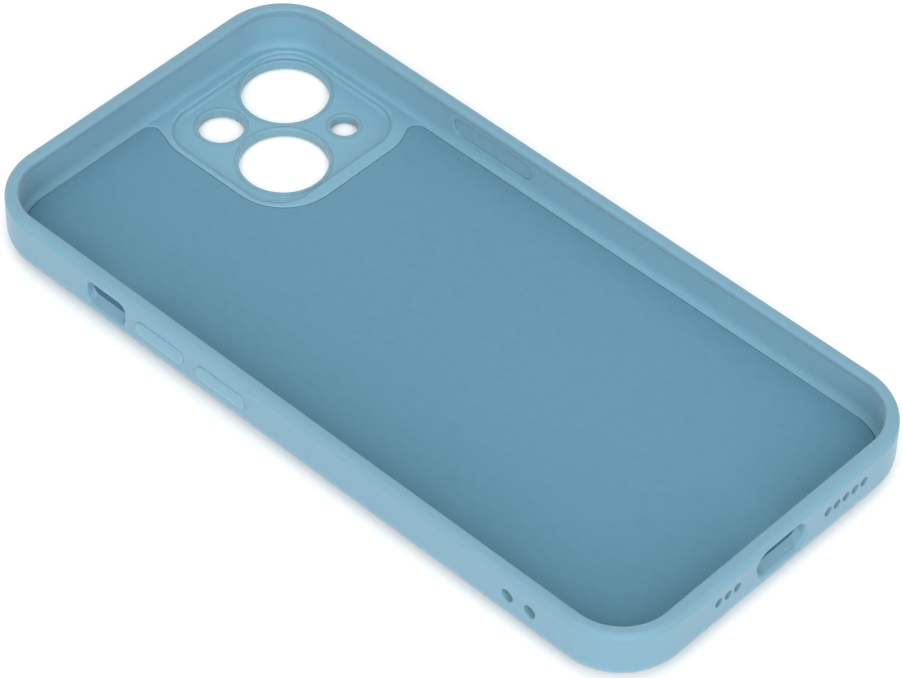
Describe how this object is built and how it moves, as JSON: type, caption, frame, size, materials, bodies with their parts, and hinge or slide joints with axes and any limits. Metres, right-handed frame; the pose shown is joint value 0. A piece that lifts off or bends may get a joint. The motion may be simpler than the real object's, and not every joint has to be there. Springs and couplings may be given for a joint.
{
  "type": "phone case",
  "caption": "Soft tray-shaped phone case: silicone skin over a firm shell, fabric lining, camera holes, port slot, switch cut-out and side buttons that press in.",
  "frame": {"origin": "centre of the footprint, on the plane of the raised camera frame's rim, the lowest face", "axes": "+Z out of the open side, +Y towards the end with the camera holes, +X towards the side with the single side button"},
  "size_m": [0.0758, 0.151, 0.012],
  "materials": {
    "silicone": "soft matt silicone, light dusty blue",
    "shell_plastic": "matt moulded plastic in the skin's colour",
    "microfibre": "short-napped microfibre, darker blue",
    "adhesive_film": "translucent film, unseen"
  },
  "bodies": {
    "case": {"outer_skin": "silicone", "inner_shell": "shell_plastic", "adhesive_film": "adhesive_film", "microfibre_lining": "microfibre"},
    "volume_up": {"volume_up_button": "silicone"},
    "volume_down": {"volume_down_button": "silicone"},
    "side_key": {"side_button": "silicone"}
  },
  "joints": [
    {"name": "volume_up_press", "type": "slide", "parent": "case", "child": "volume_up", "axis": [1, 0, 0], "range_m": [0, 0.00035], "stiffness_N_per_m": 3000},
    {"name": "volume_down_press", "type": "slide", "parent": "case", "child": "volume_down", "axis": [1, 0, 0], "range_m": [0, 0.00035], "stiffness_N_per_m": 3000},
    {"name": "side_press", "type": "slide", "parent": "case", "child": "side_key", "axis": [-1, 0, 0], "range_m": [0, 0.00035], "stiffness_N_per_m": 3000}
  ]
}
